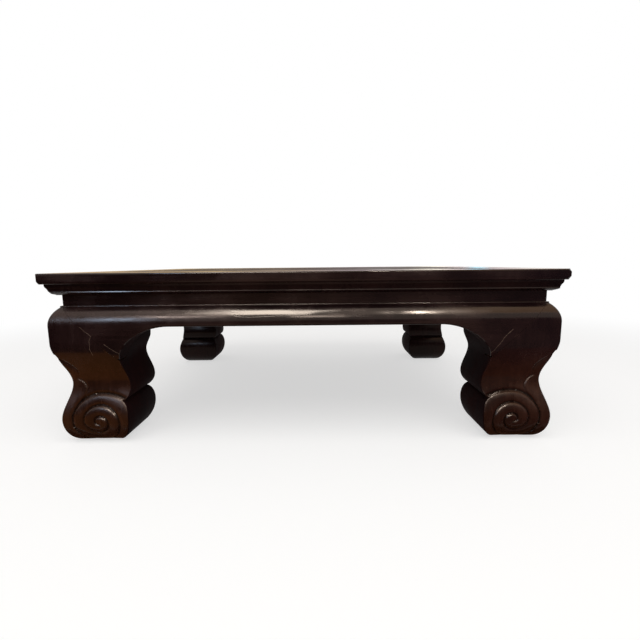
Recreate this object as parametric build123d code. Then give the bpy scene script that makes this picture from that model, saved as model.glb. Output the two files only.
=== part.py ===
from build123d import *

import os
from math import cos, radians, sin

# Kang table: a low table with a waist, bulging aprons and double-curved legs on scroll feet.
# Millimetres, +Z up, the front looks towards -Y. The origin lies on the floor under the middle of the top.
# An "inset" is a distance in from the outer edge of the top, along X or along Y.

# Overall size
table_length = 920
table_depth = 755
table_height = 315

# Top frame: four mitred rails with a moulded outer edge
frame_thickness = 38.5
rail_width = 86
arris_round = 2
slab_thickness = 16.5  # the square upper part of the edge
slab_round = 4
moulding_step = 6
moulding_break_inset = 12.5
moulding_break_drop = 14
moulding_foot_inset = 19

# Mitre tenons of the long rails
frame_tenon_thickness = 10
frame_tenon_drop = 18
frame_tenon_inset = 26
frame_tenon_width = 40
frame_tenon_cover = 14  # wood left outside the blind end

# Floating panel of three boards
panel_thickness = 14
panel_groove_depth = 10
panel_tongue_thickness = 8
panel_tongue_drop = 4
panel_seam = 0.4
board_count = 3
board_tongue_depth = 5
board_tongue_thickness = 4

# Transverse braces under the panel
brace_width = 44
brace_lift = 2  # the braces stop this far above the underside of the frame
brace_spacing = 235
brace_key_height = 5
brace_key_root = 20
brace_key_flare = 3
brace_tenon_length = 14
brace_tenon_width = 24
brace_tenon_thickness = 9

# Waist boards
waist_height = 19.5
waist_inset = 26
waist_thickness = 14
waist_tongue_thickness = 6
waist_tongue_height = 4

# Aprons
apron_height = 37.5
spandrel_reach = 92
spandrel_fullness = 0.5
apron_tenon_inset = 20
apron_tenon_thickness = 10
apron_tenon_drop = 48  # from the shoulder to the top of the tenon
apron_tenon_height = 24
apron_tenon_start_inset = 62

# Leg, outer face: sole, foot, ankle, belly and shoulder, from the floor up
sole_outer_inset = 40
foot_inset = 11
foot_height = 46
ankle_inset = 27.5
ankle_height = 113
belly_inset = 6
belly_drop = 67  # from the shoulder down to the lower end of the belly
shoulder_drop = 35  # from the waist down to the upper end of the belly

# Leg, inner face: sole, foot, notch, lobe and knee, from the floor up
sole_inner_inset = 102
foot_inner_inset = 134.5
foot_inner_height = 48
notch_inset = 124
notch_height = 80
lobe_inset = 136
lobe_height = 103
knee_inset = 126
leg_width_inset = 134
leg_straight_drop = 67  # the inner face is straight above this drop from the shoulder

# Leg tenons into the rails and the hanging key behind each apron
leg_tenon_inset = 46
leg_tenon_thickness = 12
leg_tenon_start = 92
leg_tenon_width = 24
leg_tenon_height = 22
key_inset = 56
key_width = 10
key_flare = 2
key_depth = 7
key_top_drop = 7

# Carving of the feet
scroll_inset = 79
scroll_height = 40
scroll_radius = 57
scroll_pitch = 23
scroll_flare = 7
scroll_turns = 2
carving_width = 4.5
carving_depth = 3
leaf_root = (45, 78)
leaf_belly = (54, 105)
leaf_neck = (46, 136)
leaf_tip = (16, 166)
hook_root = (54, 109)
hook_crest = (45, 122)
hook_tip = (31, 120)

# Pegs and fits
peg_diameter = 6
frame_peg_inset = 44
frame_peg_run = 56
peg_cover = 3  # a peg goes this far past its tenon
end_gap = 1  # left free at the blind end of each tenon and tongue

# Heights and insets that follow
frame_underside = table_height - frame_thickness
shoulder_height = frame_underside - waist_height
apron_bottom = shoulder_height - apron_height
core_inset = waist_inset + waist_thickness
mitre_sum = waist_inset + shoulder_height  # inset plus height along the 45 degree mitre
knee_height = mitre_sum - knee_inset
panel_bottom = table_height - panel_thickness
groove_top = table_height - panel_tongue_drop
groove_bottom = groove_top - panel_tongue_thickness
frame_tenon_top = table_height - frame_tenon_drop
frame_tenon_bottom = frame_tenon_top - frame_tenon_thickness
waist_tongue_inset = waist_inset + (waist_thickness - waist_tongue_thickness) / 2
half_length = table_length / 2
half_depth = table_depth / 2
reach = table_length  # longer than anything that is cut with it


# ---- Shapes used by several pieces ----

def block(x, y, z):
    """A box between two limits on each axis."""
    size = Box(x[1] - x[0], y[1] - y[0], z[1] - z[0])
    return Pos((x[0] + x[1]) / 2, (y[0] + y[1]) / 2, (z[0] + z[1]) / 2) * size


def ogee(start, end):
    """An S curve whose two ends run straight up."""
    third = (end[1] - start[1]) / 3
    return Bezier(start, (start[0], start[1] + third), (end[0], end[1] - third), end)


def quarter(flat_end, upright_end, fullness=0.55):
    """A quarter turn that leaves flat_end level and reaches upright_end running straight up."""
    run = upright_end[0] - flat_end[0]
    rise = upright_end[1] - flat_end[1]
    level = (flat_end[0] + run * fullness, flat_end[1])
    upright = (upright_end[0], upright_end[1] - rise * fullness)
    return Bezier(flat_end, level, upright, upright_end)


def along_x(edges, x_min, x_max):
    """Extrude a closed outline drawn as (inset, height) along X, with the inset measured along +Y."""
    face = Plane.YZ * make_face(edges)
    return Pos(x_min, 0, 0) * extrude(face, amount=x_max - x_min, dir=(1, 0, 0))


def along_y(edges, y_min, y_max):
    """Extrude a closed outline drawn as (x, height) along Y."""
    face = Plane.XZ * make_face(edges)
    return Pos(0, y_min, 0) * extrude(face, amount=y_max - y_min, dir=(0, 1, 0))


def mitred(prism, half_run):
    """Trim a piece that runs along X, with its face at y = 0, to 45 degree mitres in plan."""
    corner = (half_run, 0)
    far = (half_run - rail_width, rail_width)
    plan = Polyline((-corner[0], 0), corner, far, (-far[0], far[1]), close=True)
    return prism & extrude(make_face(plan), amount=table_height)


def side(piece, name):
    """Carry a piece drawn with its face at y = 0 to its side of the table."""
    across = half_depth if name in ("front", "back") else half_length
    angle = {"front": 0, "right": 90, "back": 180, "left": 270}[name]
    return Rot(0, 0, angle) * Pos(0, -across, 0) * piece


def as_seen_from(name, piece):
    """Bring a piece at its place on the table back to where that side is drawn."""
    across = half_depth if name in ("front", "back") else half_length
    angle = {"front": 0, "right": 90, "back": 180, "left": 270}[name]
    return Pos(0, across, 0) * Rot(0, 0, -angle) * piece


def run_of(name):
    """Half the length of a side of the table."""
    return half_length if name in ("front", "back") else half_depth


# ---- Top frame ----

def rail_profile():
    """Section of a rail: a slab edge over a stepped and rounded moulding."""
    slab_bottom = table_height - slab_thickness
    moulding_break = (moulding_break_inset, slab_bottom - moulding_break_drop)
    return [
        quarter((arris_round, table_height), (0, table_height - arris_round)),
        Line((0, table_height - arris_round), (0, slab_bottom + slab_round)),
        quarter((slab_round, slab_bottom), (0, slab_bottom + slab_round)),
        Line((slab_round, slab_bottom), (moulding_step, slab_bottom)),
        Line((moulding_step, slab_bottom), moulding_break),
        quarter((moulding_foot_inset, frame_underside), moulding_break),
        Line((moulding_foot_inset, frame_underside), (rail_width, frame_underside)),
        Line((rail_width, frame_underside), (rail_width, table_height)),
        Line((rail_width, table_height), (arris_round, table_height)),
    ]


def frame_tenon(half_run, slack):
    """Both mitre tenons of a long rail, or the room for them in the short rails."""
    y = (frame_tenon_inset, frame_tenon_inset + frame_tenon_width)
    z = (frame_tenon_bottom, frame_tenon_top)
    tip = half_run - frame_tenon_cover + slack
    root = half_run - rail_width
    return block((root, tip), y, z) + block((-tip, -root), y, z)


def leg_tenon_room(half_run):
    """Mortises for the leg tenons in the underside of a rail."""
    y = (leg_tenon_inset, leg_tenon_inset + leg_tenon_thickness)
    z = (frame_underside, frame_underside + leg_tenon_height + end_gap)
    inner = half_run - leg_tenon_start - leg_tenon_width
    outer = half_run - leg_tenon_start
    return block((inner, outer), y, z) + block((-outer, -inner), y, z)


def plain_rail(half_run):
    """A mitred rail with its panel groove, its waist groove and its leg mortises."""
    rail = mitred(along_x(rail_profile(), -half_run, half_run), half_run)
    run = (-half_run, half_run)
    panel_groove = block(run, (rail_width - panel_groove_depth, rail_width), (groove_bottom, groove_top))
    waist_groove = block(
        run,
        (waist_tongue_inset, waist_tongue_inset + waist_tongue_thickness),
        (frame_underside, frame_underside + waist_tongue_height + end_gap),
    )
    return rail - panel_groove - waist_groove - leg_tenon_room(half_run)


def long_rail():
    """Front or back rail: tenons at both ends and mortises for the braces."""
    rail = plain_rail(half_length) + frame_tenon(half_length, 0)
    for position in brace_positions():
        rail -= brace_tenon(position, end_gap)
        rail -= brace_peg(position)
    pegs = [as_seen_from("front", peg) for peg in frame_pegs()]
    return rail - pegs


def short_rail():
    """Left or right rail: mortises for the tenons of the long rails."""
    room = frame_tenon(half_length, end_gap)
    rail = plain_rail(half_depth)
    for name in ("front", "back"):
        rail -= as_seen_from("left", side(room, name))
    pegs = [as_seen_from("left", peg) for peg in frame_pegs()]
    return rail - pegs


# ---- Panel and braces ----

def brace_positions():
    """X of each brace."""
    return [-brace_spacing, 0, brace_spacing]


def board_limits():
    """Y limits of each panel board, from front to back."""
    opening = table_depth - 2 * rail_width - 2 * panel_seam
    width = opening / board_count
    edges = [-opening / 2 + width * number for number in range(board_count + 1)]
    return list(zip(edges[:-1], edges[1:]))


def board_tongue(y, slack):
    """The tongue that a board pushes forwards into its neighbour at y, or the room for it."""
    half = half_length - rail_width - panel_seam
    middle = (groove_bottom + groove_top) / 2
    z = (middle - board_tongue_thickness / 2, middle + board_tongue_thickness / 2)
    return block((-half, half), (y - board_tongue_depth - slack, y), z)


def panel_blank():
    """The whole panel: a slab with a thinner tongue all round."""
    slab_x = half_length - rail_width - panel_seam
    slab_y = half_depth - rail_width - panel_seam
    tongue = panel_groove_depth - end_gap
    tongue_x = half_length - rail_width + tongue
    tongue_y = half_depth - rail_width + tongue
    slab = block((-slab_x, slab_x), (-slab_y, slab_y), (panel_bottom, table_height))
    rim = block((-tongue_x, tongue_x), (-tongue_y, tongue_y), (groove_bottom, groove_top))
    return slab + rim


def panel_board(number):
    """One board, counted from the front, with dovetail slots for the braces underneath."""
    limits = board_limits()
    front = limits[number][0] if number > 0 else -half_depth
    back = limits[number][1] if number < board_count - 1 else half_depth
    board = panel_blank() & block((-reach, reach), (front, back), (0, table_height))
    if number > 0:
        board += board_tongue(front, 0)
    if number < board_count - 1:
        board -= board_tongue(back, end_gap)
    for position in brace_positions():
        board -= brace_key(position)
    return board


def brace_key(position):
    """Sliding dovetail on top of a brace."""
    root = brace_key_root / 2
    tip = root + brace_key_flare
    top = panel_bottom + brace_key_height
    section = Polyline(
        (position - root, panel_bottom),
        (position + root, panel_bottom),
        (position + tip, top),
        (position - tip, top),
        close=True,
    )
    half = half_depth - rail_width - panel_seam
    return along_y(section, -half, half)


def brace_tenon(position, slack):
    """Tenon of a brace into the long rail at y = 0 before the rail is carried to its side."""
    x = (position - brace_tenon_width / 2, position + brace_tenon_width / 2)
    y = (rail_width - brace_tenon_length - slack, rail_width)
    return block(x, y, brace_tenon_levels())


def brace_tenon_levels():
    """Lower and upper face of the brace tenons."""
    middle = (frame_underside + brace_lift + panel_bottom) / 2
    return (middle - brace_tenon_thickness / 2, middle + brace_tenon_thickness / 2)


def brace_peg(position):
    """A peg driven up through the long rail and a brace tenon."""
    top = brace_tenon_levels()[1] + peg_cover
    peg = Cylinder(peg_diameter / 2, top - frame_underside)
    return Pos(position, rail_width - brace_tenon_length / 2, (top + frame_underside) / 2) * peg


def brace(position):
    """A brace between the long rails, tight under the panel."""
    half = half_depth - rail_width
    x = (position - brace_width / 2, position + brace_width / 2)
    piece = block(x, (-half, half), (frame_underside + brace_lift, panel_bottom)) + brace_key(position)
    for name, local in (("front", position), ("back", -position)):
        piece += side(brace_tenon(local, 0), name)
        piece -= side(brace_peg(local), name)
    return piece


# ---- Waist and aprons ----

def waist_board(half_run):
    """A mitred board with a tongue along its top and its bottom."""
    run = (-half_run, half_run)
    board = block(run, (waist_inset, core_inset), (shoulder_height, frame_underside))
    tongue = (waist_tongue_inset, waist_tongue_inset + waist_tongue_thickness)
    levels = (shoulder_height - waist_tongue_height, frame_underside + waist_tongue_height)
    return mitred(board + block(run, tongue, levels), half_run)


def outer_face():
    """The bulging face that aprons and legs share, from the ankle up to the waist, as (inset, height)."""
    belly_low = (belly_inset, shoulder_height - belly_drop)
    belly_high = (belly_inset, shoulder_height - shoulder_drop)
    rise = shoulder_drop
    run = waist_inset - belly_inset
    radius = (run**2 + rise**2) / (2 * run)
    return [
        ogee((ankle_inset, ankle_height), belly_low),
        Line(belly_low, belly_high),
        RadiusArc(belly_high, (waist_inset, shoulder_height), radius),
    ]


def apron_front_view(half_run):
    """Outline of an apron from the front: straight below, with a curved spandrel at each end."""
    spandrel_start = half_run - knee_inset - spandrel_reach
    knee = half_run - knee_inset
    top = half_run - waist_inset
    right = quarter((spandrel_start, apron_bottom), (knee, knee_height), spandrel_fullness)
    left = quarter((-spandrel_start, apron_bottom), (-knee, knee_height), spandrel_fullness)
    return [
        Line((-spandrel_start, apron_bottom), (spandrel_start, apron_bottom)),
        right,
        Line((knee, knee_height), (top, shoulder_height)),
        Line((top, shoulder_height), (-top, shoulder_height)),
        Line((-top, shoulder_height), (-knee, knee_height)),
        left,
    ]


def apron_tenon(half_run, slack):
    """Tenons that an apron pushes into the shoulders of its two legs, or the room for them."""
    top = shoulder_height - apron_tenon_drop
    z = (top - apron_tenon_height, top)
    y = (apron_tenon_inset, apron_tenon_inset + apron_tenon_thickness)
    tip = half_run - apron_tenon_start_inset + slack
    root = half_run - knee_inset
    return block((root, tip), y, z) + block((-tip, -root), y, z)


def key_section(inset, slack):
    """Plan of the hanging dovetail key, as (inset along the apron, inset across it)."""
    root = key_width / 2
    tip = root + key_flare
    face = core_inset - key_depth - slack
    return Polyline(
        (inset - root, core_inset), (inset + root, core_inset), (inset + tip, face), (inset - tip, face),
        close=True,
    )


def hanging_key(inset, slack):
    """A dovetail key on the leg, which the apron drops over."""
    foot = mitre_sum - inset - key_width
    top = shoulder_height - key_top_drop + slack
    return Pos(0, 0, foot) * extrude(make_face(key_section(inset, slack)), amount=top - foot)


def apron(half_run):
    """A bulging apron, mitred to its legs, with tenons, key slots and the groove for the waist."""
    section = outer_face() + [
        Line((waist_inset, shoulder_height), (core_inset, shoulder_height)),
        Line((core_inset, shoulder_height), (core_inset, ankle_height)),
        Line((core_inset, ankle_height), (ankle_inset, ankle_height)),
    ]
    piece = along_x(section, -half_run, half_run) & along_y(apron_front_view(half_run), 0, core_inset)
    piece = mitred(piece, half_run) + apron_tenon(half_run, 0)
    tongue = (waist_tongue_inset, waist_tongue_inset + waist_tongue_thickness)
    levels = (shoulder_height - waist_tongue_height, shoulder_height)
    piece -= block((-half_run, half_run), tongue, levels)
    slot = Pos(-half_run, 0, 0) * hanging_key(key_inset, 0)
    return piece - slot - slot.mirror(Plane.YZ)


# ---- Legs, drawn at the front left corner with both insets measured from the origin ----

diagonal = Plane(origin=(0, 0, 0), z_dir=(1, -1, 0))


def leg_side_view():
    """Closed outline of a leg as (inset, height), the same from both of its outer sides."""
    sole_outer = (sole_outer_inset, 0)
    sole_inner = (sole_inner_inset, 0)
    foot = (foot_inset, foot_height)
    foot_inner = (foot_inner_inset, foot_inner_height)
    notch = (notch_inset, notch_height)
    lobe = (lobe_inset, lobe_height)
    knee = (knee_inset, knee_height)
    straight = (leg_width_inset, shoulder_height - leg_straight_drop)
    return [
        quarter(sole_outer, foot),
        ogee(foot, (ankle_inset, ankle_height)),
        *outer_face(),
        Line((waist_inset, shoulder_height), (core_inset, shoulder_height)),
        Line((core_inset, shoulder_height), (core_inset, frame_underside)),
        Line((core_inset, frame_underside), (leg_width_inset, frame_underside)),
        Line((leg_width_inset, frame_underside), straight),
        ogee(straight, knee),
        ogee(knee, lobe),
        quarter(notch, lobe),
        quarter(notch, foot_inner),
        quarter(sole_inner, foot_inner),
        Line(sole_inner, sole_outer),
    ]


def apron_room():
    """The part of the corner that the front apron fills."""
    past = leg_width_inset
    front_view = Polyline(
        (waist_inset, shoulder_height),
        (past, mitre_sum - past),
        (past, shoulder_height),
        close=True,
    )
    plan = Polyline((0, 0), (past, 0), (past, past), close=True)
    return along_y(front_view, 0, core_inset) & extrude(make_face(plan), amount=table_height)


def leg_tenon():
    """The tenon that enters the front rail."""
    x = (leg_tenon_start, leg_tenon_start + leg_tenon_width)
    y = (leg_tenon_inset, leg_tenon_inset + leg_tenon_thickness)
    return block(x, y, (frame_underside, frame_underside + leg_tenon_height))


def apron_mortise():
    """The mortise for the tenon of the front apron."""
    top = shoulder_height - apron_tenon_drop
    return block(
        (apron_tenon_start_inset - end_gap, leg_width_inset),
        (apron_tenon_inset, apron_tenon_inset + apron_tenon_thickness),
        (top - apron_tenon_height, top),
    )


def scroll_point(angle):
    """A point of the scroll's spiral, with the angle counted over the top from the inner side."""
    past_top = angle - 90
    radius = scroll_radius - scroll_pitch * past_top / 360
    if past_top < 0:
        radius += scroll_flare * (past_top / 45) ** 2
    return (scroll_inset + radius * cos(radians(angle)), scroll_height + radius * sin(radians(angle)))


def carving_lines():
    """The lines of the carving on the front of a foot: the scroll, the leaf above it and the leaf's hook."""
    angles = range(40, 90 + 360 * scroll_turns + 1, 25)
    scroll = Spline([scroll_point(angle) for angle in angles])
    leaf = Spline([leaf_root, leaf_belly, leaf_neck, leaf_tip])
    hook = Spline([hook_root, hook_crest, hook_tip])
    return [scroll, leaf, hook]


def carving(body):
    """The carved grooves: the lines, cut to one depth below the curved front face."""
    below_face = Pos(0, carving_depth, 0) * body
    cutters = []
    for line in carving_lines():
        face = Plane.XZ * trace(line, carving_width)
        cutters.append(extrude(face, amount=ankle_inset + 2 * carving_depth, dir=(0, 1, 0)) - below_face)
    return cutters


def below_mitre():
    """Everything under the front mitre, where the leg's own shoulder is."""
    past = leg_width_inset
    front_view = Polyline((0, 0), (past, 0), (past, mitre_sum - past), (0, mitre_sum), close=True)
    return along_y(front_view, 0, core_inset)


def leg():
    """A double-curved leg with its carved foot, mitred shoulders, hanging keys and tenons."""
    outline = leg_side_view()
    from_front = along_y(outline, 0, leg_width_inset + lobe_inset)
    from_side = along_x(outline, 0, leg_width_inset + lobe_inset)
    piece = from_front & from_side
    grooves = carving(from_side)
    for cutter in [apron_room(), apron_mortise(), *grooves]:
        piece = piece - cutter - cutter.mirror(diagonal)
    key = hanging_key(key_inset, 0) - below_mitre()
    for part in (leg_tenon(), key):
        piece = piece + part + part.mirror(diagonal)
    return piece


def corner(piece, x_name, y_name):
    """Carry a piece drawn at the front left corner to one of the four corners."""
    placed = Pos(-half_length, -half_depth, 0) * piece
    if x_name == "right":
        placed = placed.mirror(Plane.YZ)
    if y_name == "back":
        placed = placed.mirror(Plane.XZ)
    return placed


# ---- Pegs ----

def frame_peg():
    """A peg up through a short rail and the tenon in it, at the front left corner."""
    top = frame_tenon_top + peg_cover
    peg = Cylinder(peg_diameter / 2, top - frame_underside)
    return Pos(frame_peg_inset, frame_peg_run, (top + frame_underside) / 2) * peg


def frame_pegs():
    """The four pegs of the frame at their places."""
    return [corner(frame_peg(), x_name, y_name) for x_name in ("left", "right") for y_name in ("front", "back")]


def brace_pegs():
    """The six pegs of the braces at their places."""
    return [side(brace_peg(position), name) for position in brace_positions() for name in ("front", "back")]


# ---- The whole table ----

def table():
    """Every piece at its place, by name."""
    pieces = {}
    for name in ("front", "back"):
        pieces[f"frame_rail_{name}"] = side(long_rail(), name)
    for name in ("left", "right"):
        pieces[f"frame_rail_{name}"] = side(short_rail(), name)
    for number, name in enumerate(("front", "middle", "back")):
        pieces[f"panel_board_{name}"] = panel_board(number)
    for position, name in zip(brace_positions(), ("left", "middle", "right")):
        pieces[f"brace_{name}"] = brace(position)
    for name in ("front", "back", "left", "right"):
        pieces[f"waist_{name}"] = side(waist_board(run_of(name)), name)
        pieces[f"apron_{name}"] = side(apron(run_of(name)), name)
    carved_leg = leg()
    for y_name in ("front", "back"):
        for x_name in ("left", "right"):
            pieces[f"leg_{y_name}_{x_name}"] = corner(carved_leg, x_name, y_name)
    pieces["frame_pegs"] = Compound(frame_pegs())
    pieces["brace_pegs"] = Compound(brace_pegs())
    return pieces


os.makedirs("parts", exist_ok=True)
for node, piece in table().items():
    export_step(piece, f"parts/{node}.step")
    print(node, round(piece.volume / 1000), "cm3")
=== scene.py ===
# %% [markdown]
# # A kang table in old lacquer
#
# A kang table is a low table that stands on a heated brick bed or on the floor. This one has a framed top that
# overhangs, a narrow waist, bulging aprons, and heavy double-curved legs that end in carved scrolls.
#
# The joiner's model is already there as a fixed frame of separate parts. What is flat in it, such as the boards,
# the braces and the waist, stays and only gets a finish. What a plane and a carving knife shaped, such as the
# mouldings, the bulge and the scrolls, is modelled again here in finer detail, in the same place.

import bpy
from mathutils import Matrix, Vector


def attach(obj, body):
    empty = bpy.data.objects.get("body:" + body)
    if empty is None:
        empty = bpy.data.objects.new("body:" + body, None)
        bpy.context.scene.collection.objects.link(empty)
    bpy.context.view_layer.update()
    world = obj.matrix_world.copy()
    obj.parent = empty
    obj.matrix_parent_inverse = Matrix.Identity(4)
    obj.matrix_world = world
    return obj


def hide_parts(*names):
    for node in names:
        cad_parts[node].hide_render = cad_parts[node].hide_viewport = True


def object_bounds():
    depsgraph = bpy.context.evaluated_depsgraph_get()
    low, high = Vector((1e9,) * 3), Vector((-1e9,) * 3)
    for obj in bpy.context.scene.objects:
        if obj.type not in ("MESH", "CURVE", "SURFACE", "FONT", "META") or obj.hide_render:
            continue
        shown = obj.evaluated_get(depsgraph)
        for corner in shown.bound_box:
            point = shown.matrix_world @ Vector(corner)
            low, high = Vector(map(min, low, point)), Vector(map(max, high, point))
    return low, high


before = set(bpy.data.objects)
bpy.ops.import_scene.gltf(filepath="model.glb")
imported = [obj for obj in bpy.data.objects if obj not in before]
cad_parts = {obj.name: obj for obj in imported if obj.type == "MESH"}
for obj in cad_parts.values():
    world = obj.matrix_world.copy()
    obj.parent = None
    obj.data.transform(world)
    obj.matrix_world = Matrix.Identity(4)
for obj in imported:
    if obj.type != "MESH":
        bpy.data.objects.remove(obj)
cad_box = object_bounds()
print("The table's box:", [tuple(round(value, 4) for value in corner) for corner in cad_box])

# %% [markdown]
# ## Sizes
#
# The overall size is read from the frame, so that the new pieces always fit it. The other sizes are the joiner's
# own. An inset is a distance in from the outer edge of the top, along X or along Y. Blender's unit is the metre, so
# every millimetre is multiplied by `mm`.

# %% Sizes shared by several pieces
import math

import bmesh
import bpy
import numpy as np
from mathutils import Matrix, Vector

mm = 0.001
half_length = cad_box[1].x
half_depth = cad_box[1].y
table_height = cad_box[1].z
frame_underside = 276.5 * mm
shoulder_height = 257 * mm
core_inset = 40 * mm
waist_inset = 26 * mm
rail_width = 86 * mm
belly_inset = 6 * mm
joint_gap = 0.15 * mm  # half of the hairline that a mitre joint shows
touch = 0.01 * mm  # a corner this near to a line or a face lies on it
RUNS = (("front", half_length, half_depth), ("right", half_depth, half_length))  # side, half its run, how far out
TURNS = {"front": {"front": 0, "back": 180}, "right": {"right": 90, "left": 270}}  # degrees from the front
print("Half the top:", round(half_length, 4), "by", round(half_depth, 4))


# %% [markdown]
# ## Camera
#
# The lens sits low, only a finger's width above the top, about 0.7 m in front of the table. It is wide, so the
# near legs look large and the far feet small. The camera tips down 8 degrees and leans half a degree to one side.

# %% Place the camera
def put(name, data):
    """Put a mesh, a lens or a lamp into the scene."""
    made = bpy.data.objects.new(name, data)
    bpy.context.scene.collection.objects.link(made)
    return made


eye = Vector((0.0304, -1.0518, 0.3266))
pitch, yaw, roll = 0.1418, 0.0034, -0.0098
lens = bpy.data.cameras.new("camera")
lens.lens = 22.03
camera = put("camera", lens)
turn = Matrix.Rotation(yaw, 3, "Z") @ Matrix.Rotation(math.pi / 2 - pitch, 3, "X") @ Matrix.Rotation(roll, 3, "Z")
camera.matrix_world = Matrix.Translation(eye) @ turn.to_4x4()
bpy.context.scene.camera = camera
bpy.context.scene.view_settings.view_transform = "Standard"
print("The camera looks along", tuple(round(-value, 3) for value in turn.col[2]))


# %% [markdown]
# ## Working by hand in code
#
# Blender's modelling tools work on whatever is selected, just as they do under a mouse. These few helpers do the
# selecting: one piece at a time, and inside it the corners, edges or faces that pass a test on their place.

# %% Helpers for modelling
def only(piece):
    """Select one piece alone and make it active."""
    bpy.ops.object.select_all(action="DESELECT")
    piece.select_set(True)
    bpy.context.view_layer.objects.active = piece


def open_up(piece):
    """Go into edit mode on one piece."""
    only(piece)
    bpy.ops.object.mode_set(mode="EDIT")


def close_up():
    """Go back to object mode."""
    bpy.ops.object.mode_set(mode="OBJECT")


def pick(piece, kind, test):
    """Select the corners (VERT), edges (EDGE) or faces (FACE) of the open piece that pass a test."""
    bpy.ops.mesh.select_mode(type=kind)
    bpy.ops.mesh.select_all(action="DESELECT")
    shape = bmesh.from_edit_mesh(piece.data)
    for part in {"VERT": shape.verts, "EDGE": shape.edges, "FACE": shape.faces}[kind]:
        if test(part):
            part.select_set(True)
    bmesh.update_edit_mesh(piece.data)


def middle(edge):
    """The middle of an edge."""
    return (edge.verts[0].co + edge.verts[1].co) / 2


def cut(point, normal, trim=False):
    """Cut the open piece with a plane. To trim is to take off what lies on the normal's side."""
    bpy.ops.mesh.select_all(action="SELECT")
    bpy.ops.mesh.bisect(plane_co=point, plane_no=normal, use_fill=trim, clear_outer=trim)


def mitre(half_run, across):
    """Cut both ends of the open piece at 45 degrees, seen from above. Its front is at -across."""
    for way in (-1, 1):
        cut((way * half_run, -across, 0), (way, 1, 0), trim=True)


def bevel(offset, segments):
    """Round the selected edges."""
    bpy.ops.mesh.bevel(offset=offset, segments=segments, affect="EDGES")


def settle():
    """Put the active object's place, turn and size into its mesh."""
    bpy.ops.object.transform_apply(location=True, rotation=True, scale=True)


def primitive(name, make, location, scale=(1, 1, 1), **shape):
    """Add a primitive, with its place in its mesh."""
    make(location=location, **shape)
    piece = bpy.context.object
    piece.name = name
    piece.scale = scale
    settle()
    return piece


def block(name, low, high):
    """A cube between two corners."""
    low, high = Vector(low), Vector(high)
    return primitive(name, bpy.ops.mesh.primitive_cube_add, (low + high) / 2, high - low, size=1)


def modify(piece, kind, **settings):
    """Give a piece a modifier with some settings."""
    modifier = piece.modifiers.new(kind.lower(), kind)
    for key, value in settings.items():
        setattr(modifier, key, value)
    return modifier


def modify_now(piece, kind, **settings):
    """Give a piece a modifier and apply it."""
    modifier = modify(piece, kind, **settings)
    only(piece)
    bpy.ops.object.modifier_apply(modifier=modifier.name)


def displace_by(piece, weights, strength, direction):
    """Push every corner along a direction by its own share of a distance."""
    group = piece.vertex_groups.new(name="push")
    for number, weight in enumerate(weights):
        if weight > 0:
            group.add([number], float(weight), "REPLACE")
    modify_now(piece, "DISPLACE", vertex_group=group.name, strength=strength, mid_level=0, direction=direction)
    piece.vertex_groups.clear()


def corners_of(piece):
    """The places of all corners, one row each."""
    return np.array([corner.co for corner in piece.data.vertices], float)


def copy_of(piece, name):
    """A copy with its own mesh."""
    return put(name, piece.data.copy())


def smooth(piece, angle):
    """Shade smoothly across everything that bends less than an angle."""
    only(piece)
    bpy.ops.object.shade_smooth_by_angle(angle=math.radians(angle))


def wear_finishes(piece, count, which):
    """Give a piece places for several finishes, and every face the number of the one that it wears."""
    for _ in range(count):
        piece.data.materials.append(None)
    piece.data.polygons.foreach_set("material_index", [int(which(face)) for face in piece.data.polygons])


PIECES = {}


def keep(piece, node, kind):
    """Hang the piece on the table's root, hide the joiner's part that it stands for, if any, and remember it for its
    finish.
    """
    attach(piece, "root")
    if node:
        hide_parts(node)
    PIECES.setdefault(kind, []).append(piece)
    triangles = sum(len(face.vertices) - 2 for face in piece.data.polygons)
    print(piece.name, "has", triangles, "triangles")


def keep_pair(piece, side, name, node=None):
    """Keep a copy of a piece on the side that it was made for and one on the opposite side."""
    kind = "long" if side == "front" else "short"
    for place, angle in TURNS[side].items():
        copy = copy_of(piece, f"{name}_{place}")
        only(copy)
        copy.rotation_euler.z = math.radians(angle)
        settle()
        keep(copy, node and f"{node}_{place}", kind)
    bpy.data.objects.remove(piece)


# %% [markdown]
# ## Curves that a joiner draws
#
# Two curves make almost every profile here. An ogee is an S whose two ends run straight up. A quarter leaves one
# point level and reaches the other upright, like a quarter of an ellipse. Both are cubic Beziers, sampled as a
# short table of insets and heights, and a piece then asks the table how far in its face is at any height.

# %% Profile curves
def bezier(points):
    """Sample a cubic Bezier curve."""
    t = np.linspace(0, 1, 40)[:, None]
    first, second, third, fourth = (np.array(point, float) for point in points)
    return (1 - t) ** 3 * first + 3 * (1 - t) ** 2 * t * second + 3 * (1 - t) * t**2 * third + t**3 * fourth


def ogee(start, end):
    """An S curve whose two ends run straight up."""
    third = (end[1] - start[1]) / 3
    return bezier([start, (start[0], start[1] + third), (end[0], end[1] - third), end])


def quarter(flat_end, upright_end, fullness=0.55):
    """A quarter turn that leaves flat_end level and reaches upright_end running straight up."""
    run = upright_end[0] - flat_end[0]
    rise = upright_end[1] - flat_end[1]
    level = (flat_end[0] + run * fullness, flat_end[1])
    upright = (upright_end[0], upright_end[1] - rise * fullness)
    return bezier([flat_end, level, upright, upright_end])


def arc(centre, radius, first, last, count=16):
    """Part of a circle, with angles in degrees counted from straight outwards towards the top."""
    angles = np.radians(np.linspace(first, last, count))
    return np.stack([centre[0] - radius * np.cos(angles), centre[1] + radius * np.sin(angles)], 1)


def table_of(*curves):
    """Join curves, in millimetres, into one table of heights and insets in metres that rises all the way."""
    points = np.concatenate(curves)
    points = points[np.argsort(points[:, 1], kind="stable")]
    return points[:, 1] * mm, points[:, 0] * mm


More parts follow.
